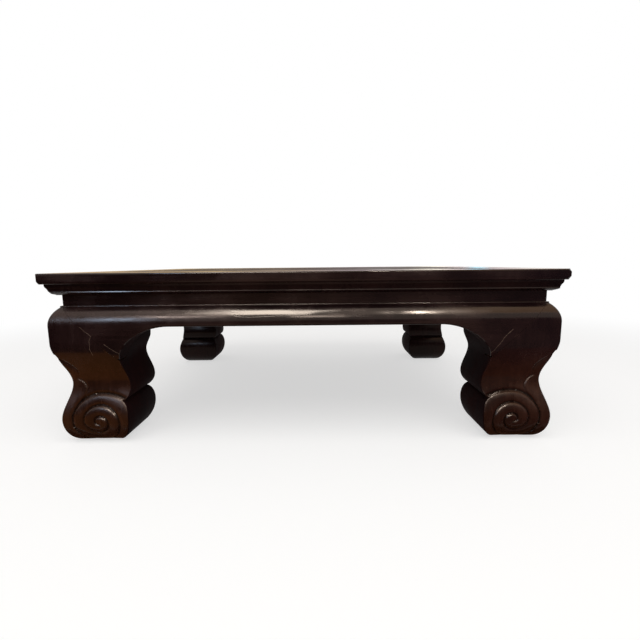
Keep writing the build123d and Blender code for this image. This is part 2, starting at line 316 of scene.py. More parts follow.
# insets and heights in millimetres, from the sole up
outer_foot, ankle, belly_low, belly_high = (11, 46), (27.5, 113), (6, 190), (6, 222)
inner_foot, notch, lobe, knee, straight = (134.5, 48), (120.5, 80), (136, 103), (126, 157), (134, 190)
shoulder_radius = 40.625
outer_table = table_of(
    quarter((40, 0), outer_foot),
    ogee(outer_foot, ankle),
    ogee(ankle, belly_low),
    arc((belly_high[0] + shoulder_radius, belly_high[1]), shoulder_radius, 0, 59.49),
)
inner_table = table_of(
    quarter((102, 0), inner_foot),
    quarter(notch, inner_foot)[::-1],
    quarter(notch, lobe),
    ogee(lobe, knee),
    ogee(knee, straight),
)


def outer_inset(height):
    """How far in the outer face of legs and aprons is."""
    return np.interp(height, *outer_table)


def inner_inset(height):
    """How far in the inner face of a leg is."""
    return np.interp(height, *inner_table)


print("The foot swells to", round(outer_inset(outer_foot[1] * mm) / mm, 1), "mm from the edge of the top")


# %% [markdown]
# ## Legs: the blank
#
# A leg of this kind is sawn from one heavy square post. The same double curve is drawn on its two outer faces and
# sawn twice, so every level cut through it is a square whose sides move in and out. It is modelled in that way: the
# top face of a thin slab, the sole, is extruded level by level, and the square is moved and scaled each time. The
# slab's upright edges are bevelled first, so that every level inherits worn, rounded corners.
#
# The levels are close together where the carving will be, and closest at the notch above the foot, a sharp valley
# between two round lips.

# %% Draw out the blank of a leg
carved_step = 1.2
levels = np.concatenate([
    [0, 0.3, 0.8, 1.6],
    np.arange(2.6, 79, carved_step),
    [79.3, 79.7, 80, 80.3, 80.7],
    np.arange(81.5, 124, carved_step),
    np.arange(125, 176, 2),
    np.arange(180, 222, 6),
    np.arange(222, 257, 2.5),
    [257],
]) * mm


def raise_square(now, outer, inner, height):
    """Extrude the selected top face to a new height, then move and scale it to the square between two insets."""
    old_outer, old_inner, old_height = now
    step = (outer + inner - old_outer - old_inner) / 2
    bpy.ops.mesh.extrude_region_move(TRANSFORM_OT_translate={"value": (step, step, height - old_height)})
    ratio = (inner - outer) / (old_inner - old_outer)
    centre = ((outer + inner) / 2 - half_length, (outer + inner) / 2 - half_depth, height)
    bpy.ops.transform.resize(value=(ratio, ratio, 1), center_override=centre)
    return outer, inner, height


outer, inner = outer_inset(0), inner_inset(0)
low = (outer - half_length, outer - half_depth, 0)
leg = block("leg", low, (inner - half_length, inner - half_depth, levels[1]))
open_up(leg)
pick(leg, "EDGE", lambda edge: abs(edge.verts[0].co.z - edge.verts[1].co.z) > 0.1 * mm)
bevel(1.7 * mm, 4)
pick(leg, "FACE", lambda face: face.normal.z > 0.9)
now = (outer, inner, levels[1])
for height in levels[2:]:
    now = raise_square(now, outer_inset(height), inner_inset(height), height)
for height in (shoulder_height, frame_underside):  # the core that goes up behind the waist
    now = raise_square(now, core_inset, inner_inset(shoulder_height), height)
close_up()
print("The blank has", len(levels) + 2, "levels")

# %% [markdown]
# ## Legs: the joint with the aprons
#
# The front of an apron runs on over the leg and meets it in a 45 degree mitre, from the foot of the waist down to
# the leg's knee. Behind that mitre the leg is cut back, and the apron fills the room. A wedge made from a block is
# taken off the leg with a Boolean, once for the front apron and once for the side apron. It is a hair larger than
# the apron's end, which leaves the fine dark line that every old mitre shows.

# %% Split the outer faces finely, then cut the room for the aprons
columns = 104
open_up(leg)


def on_outer_face(edge):
    """Is this a long level edge on one of the two outer faces?"""
    place = middle(edge)
    inset = min(place.x + half_length, place.y + half_depth)
    return inset < outer_inset(place.z) + 1 * mm and edge.calc_length() > 40 * mm


pick(leg, "EDGE", on_outer_face)
bpy.ops.mesh.subdivide(number_cuts=columns - 1)
close_up()

# past the mitres and the leg's inner sides the wedge runs on, so that it cuts clean through
low = (waist_inset - 30 * mm - half_length, -half_depth - 20 * mm, 130 * mm)
high = (160 * mm - half_length, core_inset + joint_gap - half_depth, shoulder_height + 20 * mm)
wedge = block("wedge", low, high)
open_up(wedge)
mitre_point = (waist_inset - half_length, 0, shoulder_height - 2 * joint_gap)
cut(mitre_point, (-1, 0, -1), trim=True)
cut((0, 0, shoulder_height + 0.05 * mm), (0, 0, 1), trim=True)
close_up()
side_wedge = copy_of(wedge, "side_wedge")
shift = half_length - half_depth
swap = Matrix(((0, 1, 0, -shift), (1, 0, 0, shift), (0, 0, 1, 0), (0, 0, 0, 1)))  # X and Y change places
side_wedge.data.transform(swap)
side_wedge.data.flip_normals()
for cutter in (wedge, side_wedge):  # the Manifold solver is quick, and dependable with closed shapes as these
    modify_now(leg, "BOOLEAN", operation="DIFFERENCE", solver="MANIFOLD", object=cutter)
    bpy.data.objects.remove(cutter)
print("The leg has", len(leg.data.polygons), "faces")


# %% [markdown]
# ## Legs: the carving
#
# The carver sinks the ground and leaves the ornament standing: a scroll that winds in from the notch, a leaf that
# climbs the outer corner above it, and a small hook that curls back from the leaf. A rule carves four equal legs: it
# says how deep the knife went at every point of a face. Inside the scroll that depends on how far the point is from
# the spiral line outside it and the one inside it. The depths become weights, and a Displace modifier pushes each
# corner in by its own weight.

# %% Draw the spiral of the scroll
scroll_inset, scroll_height = 80, 41  # millimetres, as all numbers of the carving
scroll_radius, scroll_pitch = 53.5, 21
scroll_shift = 3  # the spiral turns about a point this much nearer to the outer corner than its eye
eye_radius = 5
turn_depth, turn_roundness = 4.6, 0.96  # how far a turn falls off at its sides, and its share of a half circle
bead_inset, bead_depth, bead_width = 3.4, 0.7, 0.9  # a fine line inside the edge of the outermost turn
first_drawn, scroll_start, scroll_end = -80, 40, 1000  # degrees, counted over the top from the inner side


def spiral_radius(angle):
    """Distance of the spiral line from the eye, which it circles at the end."""
    flare = 8 * np.clip((90 - angle) / 45, 0, 1) ** 2
    steady = scroll_radius - scroll_pitch * (angle - 90) / 360 - scroll_shift * np.cos(np.radians(angle))
    return np.maximum(steady + flare, eye_radius)


print("The spiral runs from", spiral_radius(scroll_start), "to", spiral_radius(scroll_end), "mm")


# %% The depth of the knife at any point of a face
def fade(value, start, end):
    """0 at start, 1 at end, with a smooth passage in between."""
    share = np.clip((value - start) / (end - start), 0, 1)
    return share * share * (3 - 2 * share)


def groove(distance, depth, width):
    """A soft V groove along a line."""
    return depth * np.exp(-((distance / width) ** 2))


def scroll_depth(u, z):
    """Depth inside the scroll, and whether a point lies inside it."""
    radius = np.hypot(u - scroll_inset, z - scroll_height)
    angle = np.degrees(np.arctan2(z - scroll_height, u - scroll_inset))
    angle = np.where(angle < scroll_start, angle + 360, angle)
    depth = np.zeros_like(u)
    inside = np.zeros(u.shape, bool)
    for turn_number in (-1, 0, 1, 2):
        here = angle + 360 * turn_number
        line = spiral_radius(here)
        last = here + 360 > scroll_end
        following = np.where(last, 0, spiral_radius(here + 360))
        share = np.clip((line - radius) / np.maximum(line - following, 1), 0, 1)
        band = (here >= first_drawn) & (here <= scroll_end) & (radius <= line) & (radius > following)
        slope = np.where(last & (share > 0.5), 0, np.abs(2 * share - 1))  # from 0 on a turn's crown to 1 beside it
        roll = turn_depth * (1 - np.sqrt(1 - (turn_roundness * slope) ** 2))
        bead = groove(line - radius - bead_inset, bead_depth, bead_width) * (line > 40)
        depth = np.where(band, roll + bead, depth)
        inside |= band
        drawn = (here >= scroll_start) & (here <= scroll_end)
        taper = fade(here, scroll_end, scroll_end - 60)
        outermost = fade(line, 46, 50)
        valley = groove(line - radius, 1.4 + 0.8 * outermost, 2.0 + 0.8 * outermost)
        depth = depth + np.where(drawn, valley * taper, 0)
    return depth, inside


leaf_outline = np.array([
    (34, 68), (41, 78), (46.5, 85), (51, 91.5), (53.5, 99), (53.5, 104), (51.5, 109), (48, 113.5), (43.5, 117),
    (39, 119), (37, 121.5), (39, 125), (40.5, 131), (38.5, 137), (34, 143.5), (28, 150), (20, 157), (10, 163),
])
leaf_heights = np.arange(leaf_outline[0, 1], leaf_outline[-1, 1], 0.5)
leaf_insets = np.interp(leaf_heights, leaf_outline[:, 1], leaf_outline[:, 0])
for _ in range(3):
    leaf_insets[1:-1] = (leaf_insets[:-2] + 2 * leaf_insets[1:-1] + leaf_insets[2:]) / 4


def carved_depth(u, z):
    """Depth of the carving, in millimetres, at an inset u along the face and a height z."""
    depth, inside = scroll_depth(u, z)
    gap = np.min(np.hypot(u[:, None] - leaf_insets, z[:, None] - leaf_heights), 1)
    beyond_leaf = np.where(u > np.interp(z, leaf_heights, leaf_insets), gap, -gap)
    above_scroll = fade(z, 68, 76)
    ground = 2.0 * fade(beyond_leaf, -1.5, 2.0) * above_scroll * fade(z, 190, 155)
    leaf_edge = 0.8 * fade(beyond_leaf, -8, -1) * fade(beyond_leaf, 1, -1) * above_scroll
    leaf_groove = groove(beyond_leaf - 1, 1.3, 1.6) * above_scroll * fade(z, 166, 150)
    depth = np.where(inside, depth, depth + ground + leaf_edge + leaf_groove)
    return depth * fade(z, 0, 4)


# %% Carve the leg
deepest = 8.0
face_reach = 1.2  # corners this near to an outer face are carved with it
inset_x, inset_y, z = (corners_of(leg) + (half_length, half_depth, 0)).T / mm
on_face = np.minimum(inset_x, inset_y) < outer_inset(z * mm) / mm + face_reach
along = np.maximum(inset_x, inset_y)
inner_edge = inner_inset(z * mm) / mm
depth = carved_depth(along, z) * on_face * fade(along, inner_edge + 0.5, inner_edge - 2.5)
depth = np.clip(depth, 0, deepest)
displace_by(leg, depth / deepest, -deepest * mm, "NORMAL")
print("The knife goes", round(depth.max(), 2), "mm deep")


# %% [markdown]
# ## Legs: depth as an attribute
#
# The carved hollows are painted darker, towards near-black, with their depth: painted shade. So the depth is stored
# on the corners of the mesh, and the lacquer reads it later by name.

# %% Store the depth, then copy the leg to the four corners
full_hollow = 4.0  # millimetres of depth that count as 1
# the depth drives painted shade in the carved hollows
hollow_shade = leg.data.attributes.new("hollow_shade", "FLOAT", "POINT")
hollow_shade.data.foreach_set("value", (depth / full_hollow).astype(np.float32))


def side_of_leg(face):
    """0 on the leg's two outer sides, 1 on the inner side that faces along Y, 2 on the one that faces along X."""
    farthest = max(face.center.x + half_length, face.center.y + half_depth)
    if farthest < inner_inset(face.center.z) - 1.3 * mm:
        return 0
    return 2 if abs(face.normal.x) > abs(face.normal.y) else 1


wear_finishes(leg, 3, side_of_leg)
smooth(leg, 40)


for depth_name, y in (("front", 1), ("back", -1)):
    for length_name, x in (("left", 1), ("right", -1)):
        carved = copy_of(leg, f"carved_leg_{depth_name}_{length_name}")
        carved.data.transform(Matrix.Diagonal((x, y, 1, 1)))
        if x * y < 0:  # mirrored, and so turned inside out
            carved.data.flip_normals()
        keep(carved, f"leg_{depth_name}_{length_name}", "upright")
bpy.data.objects.remove(leg)


# %% [markdown]
# ## Aprons
#
# An apron is a board planed to the same bulge as the legs. Below it is straight, and near each leg a spandrel
# curves down to the knee. A flat block is cut into rows and columns, its lower edge is lifted to the outline, its
# face is pushed back to the bulge, and its ends are trimmed to the mitres.

# %% Plane one apron
apron_bottom, spandrel_reach = 219.5, 92  # millimetres
knee_inset, knee_height = knee
first_row, last_row, row_step = 160.5, 256.5, 2.4
still_row = 163  # rows above this one follow the outline less and less
deepest_bulge = 20 * mm


def apron(half_run, across):
    """An apron along the front, whose face is at -across and whose ends are at half_run."""
    low = (-half_run + waist_inset, -across + belly_inset, knee_height * mm)
    high = (half_run - waist_inset, -across + core_inset, shoulder_height)
    piece = block("apron", low, high)
    open_up(piece)
    pick(piece, "EDGE", lambda edge: middle(edge).z < low[2] + touch and middle(edge).y < low[1] + touch)
    bevel(2.4 * mm, 3)
    for height in np.arange(first_row, last_row, row_step):
        cut((0, 0, height * mm), (0, 0, 1))
    spandrel_end = half_run / mm - knee_inset
    spandrel = quarter((spandrel_end - spandrel_reach, apron_bottom), (spandrel_end, knee_height), 0.5)[::2]
    inner_columns = np.arange(0, spandrel[0, 0] - 6, 14)
    outer_columns = np.arange(spandrel[-1, 0] + 8, high[0] / mm, 10)
    for column in np.concatenate([inner_columns, spandrel[:, 0], outer_columns]):
        cut((column * mm, 0, 0), (1, 0, 0))
        cut((-column * mm, 0, 0), (1, 0, 0))
    close_up()
    x, y, z = corners_of(piece).T / mm
    rise, top = apron_bottom - knee_height, shoulder_height / mm
    lift = (np.interp(np.abs(x), *spandrel.T) - knee_height) / rise
    displace_by(piece, lift * np.clip((top - z) / (top - still_row), 0, 1), rise * mm, "Z")
    x, y, z = corners_of(piece).T
    bulge = (outer_inset(z) - belly_inset) * (y < -across + belly_inset + 3 * mm)
    displace_by(piece, bulge / deepest_bulge, deepest_bulge, "Y")
    return piece


for side, half_run, across in RUNS:
    board = apron(half_run, across)
    open_up(board)
    for way in (-1, 1):  # seen from the front, the mitre rises from the knee to the foot of the waist
        foot = (way * (half_run - waist_inset - 2 * joint_gap), 0, shoulder_height)
        cut(foot, (way, 0, -1), trim=True)
    mitre(half_run - joint_gap, across)
    close_up()
    wear_finishes(board, 2, lambda face: face.center.y > -across + outer_inset(face.center.z) + 0.8 * mm)
    smooth(board, 32)
    keep_pair(board, side, "bulged_apron", "apron")


# %% [markdown]
# ## Bead at the foot of the waist
#
# A thin bead runs round the table where the waist stands on the aprons. It is only 3 mm high, but its polished top
# draws a bright line right across the table. Each side is a strip with its two outer edges rounded.

# %% Run the bead round the waist
bead_low, bead_high, bead_front = 254.0 * mm, 256.9 * mm, 22.6 * mm


for side, half_run, across in RUNS:
    end, front = half_run - bead_front, -across + bead_front
    strip = block("bead", (-end, front, bead_low), (end, -across + waist_inset + 1 * mm, bead_high))
    open_up(strip)
    pick(strip, "EDGE", lambda edge: middle(edge).y < front + touch and abs(middle(edge).x) < 1 * mm)
    bevel(1.3 * mm, 4)
    mitre(half_run, across)
    close_up()
    smooth(strip, 60)
    keep_pair(strip, side, "waist_bead")


# %% [markdown]
# ## Top frame
#
# Four rails meet in mitres and hold the boards in a groove. Their outer edge is a plain square band over a
# moulding: a slope, a small reed and a foot. A moulding plane runs along the whole rail, so one profile is enough:
# a block is cut level at each point of the profile, and each new line on its face is slid in to its inset. Last,
# the corners are shaved, and more is taken off where knocks have rounded them.

# %% Profile of the rails
rail_profile = np.concatenate([  # insets and heights in millimetres, from the top down
    arc((2.2, 312.8), 2.2, 85, 0, 6),  # the band's upper and lower corners
    arc((2.4, 298.6), 2.4, 0, -84, 6),
    [(7.6, 296.1), (7.6, 294.7), (7.6, 293.9), (7.7, 292.9), (8.1, 291.4), (8.8, 289.9), (9.6, 288.7)],  # slope
    [(10.2, 287.6), (10.6, 286.6), (10.9, 285.6), (11.3, 284.4), (11.9, 283.0)],
    [(11.6, 281.6), (12.0, 280.7), (13.3, 279.8), (15.2, 278.9), (17.0, 278.0), (19.5, 277.2)],  # reed and foot
])
print("The moulding has", len(rail_profile), "points")


# %% Plane the rails
groove_low, groove_high, groove_depth = 303 * mm, 311 * mm, 10 * mm
top_inset, foot_inset = 2.2 * mm, 20 * mm  # of the profile's first and last line
# radius and height of a ball in the corner, the turns of the planes that shave the corner round it, and their tilt
worn_corner = ((2.2, 0, (15, 30, 45), 0), (5, 302.4, (24, 45), -32), (5, 310, (24, 45), 32))
crisp_corner = ((1.2, 0, (22, 45), 0), (4, 300.5, (22, 45), -30), (4, 300.5, (22, 45), -42))


def round_corner(half_run, across, way, radius, height, turns, tilt):
    """Shave the end of the open rail with planes that touch a ball set into its corner."""
    ball = Vector((way * (half_run - radius), -across + radius, height))
    for turn_angle in turns:
        lean, climb = math.radians(turn_angle), math.radians(tilt)
        level = math.cos(climb)
        outward = Vector((way * math.sin(lean) * level, -math.cos(lean) * level, math.sin(climb)))
        cut(ball + radius * outward, outward, trim=True)


def rail(half_run, across, worn_end):
    """A rail along the front, moulded, grooved for the boards and mitred."""
    piece = block("rail", (-half_run, -across, frame_underside), (half_run, -across + rail_width, table_height))
    open_up(piece)
    lines = [(height * mm, inset * mm) for inset, height in rail_profile]
    insets, heights = rail_profile[::-1].T
    lines += [(height, float(np.interp(height / mm, heights, insets)) * mm) for height in (groove_low, groove_high)]
    for height, _ in sorted(lines, reverse=True):
        cut((0, 0, height), (0, 0, 1))
    for height, inset in [(table_height, top_inset), (frame_underside, foot_inset), *lines]:
        pick(piece, "VERT", lambda vert: abs(vert.co.z - height) < touch and vert.co.y < -across + touch)
        bpy.ops.transform.translate(value=(0, inset, 0))
    pick(piece, "FACE", lambda face: face.normal.y > 0.9
         and groove_low < face.calc_center_median().z < groove_high)
    bpy.ops.mesh.extrude_region_move(TRANSFORM_OT_translate={"value": (0, -groove_depth, 0)})
    mitre(half_run - joint_gap, across)
    for way in (-1, 1):
        for radius, height, turns, tilt in (worn_corner if way == worn_end else crisp_corner):
            round_corner(half_run, across, way, radius * mm, height * mm, turns, tilt)
    close_up()
    wear_finishes(piece, 2, lambda face: face.normal.z < -0.2)
    smooth(piece, 30)
    return piece


for side, half_run, across in RUNS:
    keep_pair(rail(half_run, across, 1 if side == "front" else -1), side, "moulded_rail", "frame_rail")


# %% [markdown]
# ## Pegs
#
# Wooden pegs lock the tenons from below. Driven home and cut off, each end stands a shaving proud of the frame, and
# its rim is crushed round: a short cylinder whose lower face is inset. All the pegs of one kind are one piece, so
# the first cylinder is opened, and the others are added inside it.

# %% Drive the pegs
peg_radius, peg_length, peg_proud = 3 * mm, 6 * mm, 0.5 * mm


def pegs(name, node, columns, rows):
    """All the peg ends that stand for one node, as one piece."""
    height = frame_underside + peg_length / 2 - peg_proud
    places = [(x, y, height) for x in columns for y in rows]
    shape = {"vertices": 24, "radius": peg_radius, "depth": peg_length}
    piece = primitive(name, bpy.ops.mesh.primitive_cylinder_add, places[0], **shape)
    open_up(piece)
    for place in places[1:]:
        bpy.ops.mesh.primitive_cylinder_add(location=place, **shape)
    pick(piece, "FACE", lambda face: face.normal.z < -0.9)
    bpy.ops.mesh.inset(thickness=0.5 * mm, depth=0.25 * mm)
    close_up()
    smooth(piece, 40)
    keep(piece, node, "peg")


frame_peg_x, frame_peg_y = half_length - 44 * mm, half_depth - 56 * mm
pegs("frame_peg_ends", "frame_pegs", (-frame_peg_x, frame_peg_x), (-frame_peg_y, frame_peg_y))
brace_spacing, brace_peg_y = 235 * mm, half_depth - rail_width + 7 * mm
pegs("brace_peg_ends", "brace_pegs", (-brace_spacing, 0, brace_spacing), (-brace_peg_y, brace_peg_y))


# %% [markdown]
# ## Shader helpers
#
# The materials are built from nodes, and a few short helpers keep that readable: one adds a node and fills its
# sockets, some do a sum on values or vectors, one mixes two colours, and one stretches a range of values over
# another. As the modelling tools work on the open piece, these work in the open node tree.

# %% Helpers for shader nodes
OPEN = {}


def open_tree(tree):
    """Open the node tree of a material, of a group or of the world for the helpers."""
    OPEN["tree"] = tree
    return tree


def fill(inputs, values):
    """Fill sockets with values or links."""
    for key, value in values.items():
        if isinstance(value, bpy.types.NodeSocket):
            OPEN["tree"].links.new(value, inputs[key])
        else:
            inputs[key].default_value = value


def add(kind, values=None, **settings):
    """Add a node, whose kind leaves out ShaderNode, then set its options and fill its sockets."""
    made = OPEN["tree"].nodes.new("ShaderNode" + kind)
    for key, value in settings.items():
        setattr(made, key, value)
    fill(made.inputs, values or {})
    return made


def blend(share, first, second):
    """Mix two colours."""
    return add("Mix", {0: share, 6: first, 7: second}, data_type="RGBA").outputs[2]


def sums(operation, first, second=0.0, clamp=False):
    """One sum on two values."""
    return add("Math", {0: first, 1: second}, operation=operation, use_clamp=clamp).outputs[0]


def plus(first, second, clamp=False):
    """Add two values."""
    return sums("ADD", first, second, clamp)


def times(first, second, clamp=False):
    """Multiply two values."""
    return sums("MULTIPLY", first, second, clamp)


def vectors(operation, first, second=(0, 0, 0), **more):
    """One sum on two vectors, which gives a vector, or for a product, a distance or a length a value."""
    made = add("VectorMath", {0: first, 1: second, **more}, operation=operation)
    return made.outputs["Value" if operation in ("DOT_PRODUCT", "DISTANCE", "LENGTH") else "Vector"]


def spread(value, low, high, to_low=0.0, to_high=1.0):
    """Stretch a range of values over another, clamped at both ends."""
    names = {"Value": value, "From Min": low, "From Max": high, "To Min": to_low, "To Max": to_high}
    return add("MapRange", names, interpolation_type="SMOOTHSTEP").outputs[0]


def noise(vector, scale, detail=3.0, roughness=0.5):
    """The grey value of a noise."""
    names = {"Vector": vector, "Scale": scale, "Detail": detail, "Roughness": roughness}
    return add("TexNoise", names).outputs[0]


def shader_group(name, inputs, outputs=("Mask",)):
    """Open a node group with named sockets. An input is a number as a rule, or "colour", or None for a vector."""
    group = open_tree(bpy.data.node_groups.new(name, "ShaderNodeTree"))
    for label, value in inputs.items():
        kind = {None: "Vector", "colour": "Color"}.get(value, "Float")
        socket = group.interface.new_socket(label, in_out="INPUT", socket_type="NodeSocket" + kind)
        if kind == "Float":
            socket.default_value = value
    for label in outputs:
        kind = "Color" if label == "Color" else "Float"
        group.interface.new_socket(label, in_out="OUTPUT", socket_type="NodeSocket" + kind)
    taken = group.nodes.new("NodeGroupInput").outputs
    given = group.nodes.new("NodeGroupOutput").inputs
    return group, taken, given


def effect(group, **inputs):
    """Place a group, fill its inputs and give its outputs."""
    return add("Group", inputs, node_tree=group).outputs


def new_material(name):
    """Open a new material. Gives it and the place of a point on the piece."""
    material = bpy.data.materials.new(name)
    material.use_nodes = True
    open_tree(material.node_tree)
    return material, add("TexCoord").outputs["Object"]


def show(surface):
    """Make a plain shader the whole look of the open material."""
    nodes = OPEN["tree"].nodes
    nodes.remove(nodes["Principled BSDF"])
    fill(nodes["Material Output"].inputs, {"Surface": surface.outputs[0]})


# %% [markdown]
# ## What ages a lacquered table
#
# Five effects turn up in more than one material, so each is a group of its own.
#
# - Brushed lacquer: coats of uneven thickness, laid on along the grain, so that the black lets more or less of the
#   red-brown coat below through, and the surface keeps a slight wave.
# - Worn edges: every corner that hands and sleeves touch is rubbed through to brown. The Bevel node finds corners,
#   because a rounded normal differs from the true one only there.
# - Hairline cracks: lacquer splits along the grain as the wood moves. Contour lines of a stretched noise are long,
#   thin and wavering, as such cracks are.
# - Long cracks: the few deep ones on the front, each with a start and an end.
# - Dust: it settles where cloths don't reach, in hollows and against mouldings.

# %% Group: brushed lacquer
inputs = {"Vector": None, "Along": None, "Dark": "colour", "Red": "colour"}
brushed, taken, given = shader_group("brushed_lacquer", inputs, ("Color", "Gloss", "Height"))
clouds = noise(taken["Vector"], 11.0, 4.0, 0.6)
strokes = noise(taken["Along"], 150.0, 4.0, 0.6)
speckle = noise(taken["Vector"], 700.0, 2.0)
thinness = plus(times(strokes, 0.35), times(clouds, 0.9))
shade = blend(spread(thinness, 0.4, 0.95), taken["Dark"], taken["Red"])
pale = times(spread(speckle, 0.66, 0.8), 0.35)
wave = times(noise(taken["Along"], 26.0, 2.0), 1.2)
swell = times(noise(taken["Vector"], 9.0, 1.0), 11.0)
height = plus(plus(wave, swell), times(strokes, 0.12))
fill(given, {
    "Color": blend(pale, shade, (0.05, 0.03, 0.024, 1)),
    "Gloss": spread(thinness, 0.4, 0.9),
    "Height": plus(height, times(speckle, 0.02)),
})

# %% Group: worn edges
worn, taken, given = shader_group("worn_edges", {"Vector": None, "Radius": 0.002, "Amount": 1.0})
rounded = add("Bevel", {"Radius": taken["Radius"]}, samples=6).outputs[0]
agree = vectors("DOT_PRODUCT", rounded, add("NewGeometry").outputs["Normal"])
patches = spread(noise(taken["Vector"], 55.0, 5.0, 0.65), 0.42, 0.66)
rubbed = times(spread(agree, 0.985, 0.86), patches)
fill(given, {"Mask": times(rubbed, taken["Amount"], clamp=True)})

# %% Group: hairline cracks
cracks, taken, given = shader_group("hairline_cracks", {"Along": None, "Scale": 30.0, "Width": 0.004})
field = noise(taken["Along"], taken["Scale"], 2.0, 0.4)
line = sums("ABSOLUTE", sums("SUBTRACT", field, 0.5))
where = spread(noise(taken["Along"], 9.0, 1.0), 0.64, 0.70)
fill(given, {"Mask": times(spread(line, taken["Width"], 0.0), where)})

# %% Group: one long crack, which wavers about the straight line from its start to its end
marked, taken, given = shader_group("single_crack", {"Vector": None, "Start": None, "End": None, "Width": 0.0006})
flatten = (1.0, 0.15, 1.0)  # depth counts little, so that the crack also shows where the face bulges
jitter = add("TexNoise", {"Vector": taken["Vector"], "Scale": 160.0, "Detail": 3.0})
jitter = vectors("SUBTRACT", jitter.outputs["Color"], (0.5, 0.5, 0.5))
point = vectors("ADD", taken["Vector"], vectors("SCALE", jitter, Scale=0.004))
away = vectors("MULTIPLY", vectors("SUBTRACT", point, taken["Start"]), flatten)
whole = vectors("MULTIPLY", vectors("SUBTRACT", taken["End"], taken["Start"]), flatten)
ahead_part, square = vectors("DOT_PRODUCT", away, whole), vectors("DOT_PRODUCT", whole, whole)
position = sums("DIVIDE", ahead_part, square, clamp=True)
distance = vectors("DISTANCE", away, vectors("SCALE", whole, Scale=position))
fill(given, {"Mask": spread(distance, taken["Width"], 0.0)})

# %% Group: dust
dust, taken, given = shader_group("settled_dust", {"Vector": None, "Reach": 0.008, "Amount": 0.5})
shelter = add("AmbientOcclusion", {"Distance": taken["Reach"]}, samples=6, only_local=True)
hidden = spread(shelter.outputs["AO"], 0.75, 0.3)
settled = times(hidden, spread(noise(taken["Vector"], 80.0, 4.0, 0.7), 0.35, 0.7))
fill(given, {"Mask": times(settled, taken["Amount"], clamp=True)})
print("Shader groups:", [group.name for group in bpy.data.node_groups])


# %% [markdown]
# ## Lacquer
#
# The lacquer is a near-black brown with a plum cast, and glossy. What is the same all over, such as how strongly it
# mirrors, is set on the Principled shader's own socket. What changes over the surface is linked: its colour, its
# roughness and its fine relief. The grain runs along each piece, so there is one material for each direction, and
# the pattern's coordinates are squeezed along the grain.
#
# Faces that turn down or inwards wear a copy of the lacquer that barely mirrors, as painted shade, so that
# they stay dark. On the back legs and under the moulding a second copy mirrors a little more.

# %% Mix the lacquers
near_black = (0.0075, 0.0032, 0.0038, 1)
plum_brown = (0.0215, 0.0078, 0.0078, 1)
# the colours that the lower legs turn to: a painted reflection of a warm floor
reflected_floor_black = (0.0150, 0.0050, 0.0030, 1)
reflected_floor_brown = (0.0440, 0.0130, 0.0060, 1)


def lacquer(name, squeeze, wear=0.8, gloss=(0.12, 0.3), mirror=0.3, carved=False, splits=()):
    """A lacquer whose grain runs along the squeezed axis, with long cracks between pairs of points."""
    material, place = new_material(name)
    run = add("Mapping", {"Vector": place, "Scale": squeeze}).outputs[0]
    height = add("SeparateXYZ", {0: place}).outputs["Z"]
    dark, red = near_black, plum_brown
    if carved:  # the legs are painted lighter and browner from 0.185 m down to 0.12 m: a painted reflection of a warm floor
        painted_floor_reflection = spread(height, 0.185, 0.12)
        dark, red = blend(painted_floor_reflection, near_black, reflected_floor_black), blend(painted_floor_reflection, plum_brown, reflected_floor_brown)
    coat = effect(brushed, Vector=place, Along=run, Dark=dark, Red=red)
    edges = effect(worn, Vector=place, Amount=wear)["Mask"]
    crack = effect(cracks, Along=run)["Mask"]
    grime = effect(dust, Vector=place)["Mask"]
    # edges rubbed through to brown, most along the top edge of the frame, where the tan also stands in for a painted
    # highlight
    rub_and_highlight = times(edges, spread(height, 0.304, 0.311, 0.15, 1.0))
    colour = coat["Color"]
    if carved:
        # painted shade: the carved hollows darken towards near-black with their depth
        hollow_shade = add("Attribute", attribute_name="hollow_shade").outputs["Fac"]
        colour = blend(spread(hollow_shade, 0.5, 1.2), colour, (0.005, 0.0022, 0.0016, 1))
    colour = blend(rub_and_highlight, colour, (0.12, 0.065, 0.036, 1))
    colour = blend(grime, colour, (0.045, 0.03, 0.024, 1))
    colour = blend(crack, colour, (0.0015, 0.001, 0.001, 1))
    for start, end in splits:
        mark = effect(marked, Vector=place, Start=start, End=end)["Mask"]
        colour = blend(mark, colour, (0.16, 0.11, 0.085, 1))
    rough = plus(spread(coat["Gloss"], 0.0, 1.0, *gloss), times(rub_and_highlight, 0.25))
    if carved:
        rough = plus(rough, times(spread(height, 0.12, 0.09), 0.1))
    relief = sums("SUBTRACT", coat["Height"], times(crack, 0.4))
    fill(material.node_tree.nodes["Principled BSDF"].inputs, {
        "Base Color": colour,
        "Roughness": plus(rough, times(grime, 0.35), clamp=True),
        "Normal": add("Bump", {"Height": relief, "Distance": 0.0003}).outputs[0],
        "Specular IOR Level": mirror,
        "Specular Tint": (1, 0.82, 0.70, 1),
    })
    return material


def chain(way, points):
    """Pairs of neighbouring points along a crack, each an inset from one end of the front and a height."""
    spots = [(way * (half_length - inset * mm), outer_inset(height * mm) - half_depth, height * mm)
             for inset, height in points]
    return list(zip(spots, spots[1:]))


cracks_in_front = chain(-1, [(64, 220), (82, 204), (79, 194), (78, 180), (80, 168)])
cracks_in_front += chain(-1, [(104, 189), (128, 171)])
cracks_in_front += chain(1, [(92, 210), (106, 196), (114, 183), (130, 162)])
squeezes = {"long": (0.06, 1, 1), "short": (1, 0.06, 1), "upright": (1, 1, 0.08)}
finishes = {}
for kind, squeeze in squeezes.items():
    splits = () if kind == "short" else cracks_in_front
    finishes[kind] = lacquer("lacquer_" + kind, squeeze, carved=kind == "upright", splits=splits)
